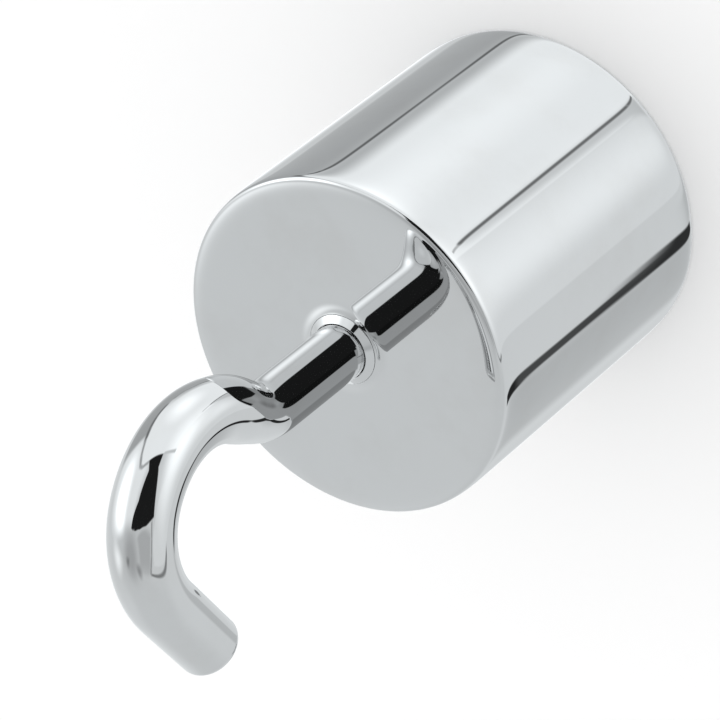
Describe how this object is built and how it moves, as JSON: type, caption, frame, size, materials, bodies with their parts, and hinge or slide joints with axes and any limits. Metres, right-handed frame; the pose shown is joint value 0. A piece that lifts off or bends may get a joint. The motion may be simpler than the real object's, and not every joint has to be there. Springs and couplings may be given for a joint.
{
  "type": "magnet fishing magnet",
  "caption": "Deep cylindrical pot magnet in a chromed casing, with an open bent-rod hook on a swivel at its closed end, for towing on a rope.",
  "frame": {"origin": "centre of the flat pole face that the magnet stands on", "axes": "+Z along the casing's axis from the pole face to the hook; the hook lies in the XZ plane with its tip on the +X side"},
  "size_m": [0.0609, 0.06, 0.1229],
  "materials": {
    "casing_chrome": "mirror-bright chromium plate",
    "hook_chrome": "mirror-bright chromium plate",
    "bush_chrome": "bright chromium plate",
    "seal_rubber": "matt black moulded rubber",
    "zinc_steel": "bright zinc plate",
    "bearing_bronze": "turned bronze",
    "pole_steel": "ground steel, lightly oiled",
    "magnet_nickel": "satin nickel plate",
    "potting_resin": "cast black resin",
    "brass": "turned brass"
  },
  "bodies": {
    "magnet_body": {"casing": "casing_chrome", "swivel_bush": "bush_chrome", "shank_seal": "seal_rubber", "yoke_seal": "seal_rubber", "thrust_washer": "bearing_bronze", "chamber_cup": "zinc_steel", "core_bolt": "zinc_steel", "bolt_washer": "zinc_steel", "yoke_plate": "pole_steel", "flux_ring": "pole_steel", "pole_shoe": "pole_steel", "lower_magnet": "magnet_nickel", "middle_magnet": "magnet_nickel", "upper_magnet": "magnet_nickel", "potting_fill": "potting_resin", "gap_resin": "potting_resin", "spacer_ring": "brass", "core_sleeve": "brass"},
    "swivel_hook": {"hook": "hook_chrome", "retaining_nut": "zinc_steel", "lock_pin": "zinc_steel"}
  },
  "joints": [
    {"name": "hook_swivel", "type": "hinge", "parent": "magnet_body", "child": "swivel_hook", "pos_m": [0, 0, 0.06], "axis": [0, 0, 1], "continuous": true}
  ]
}
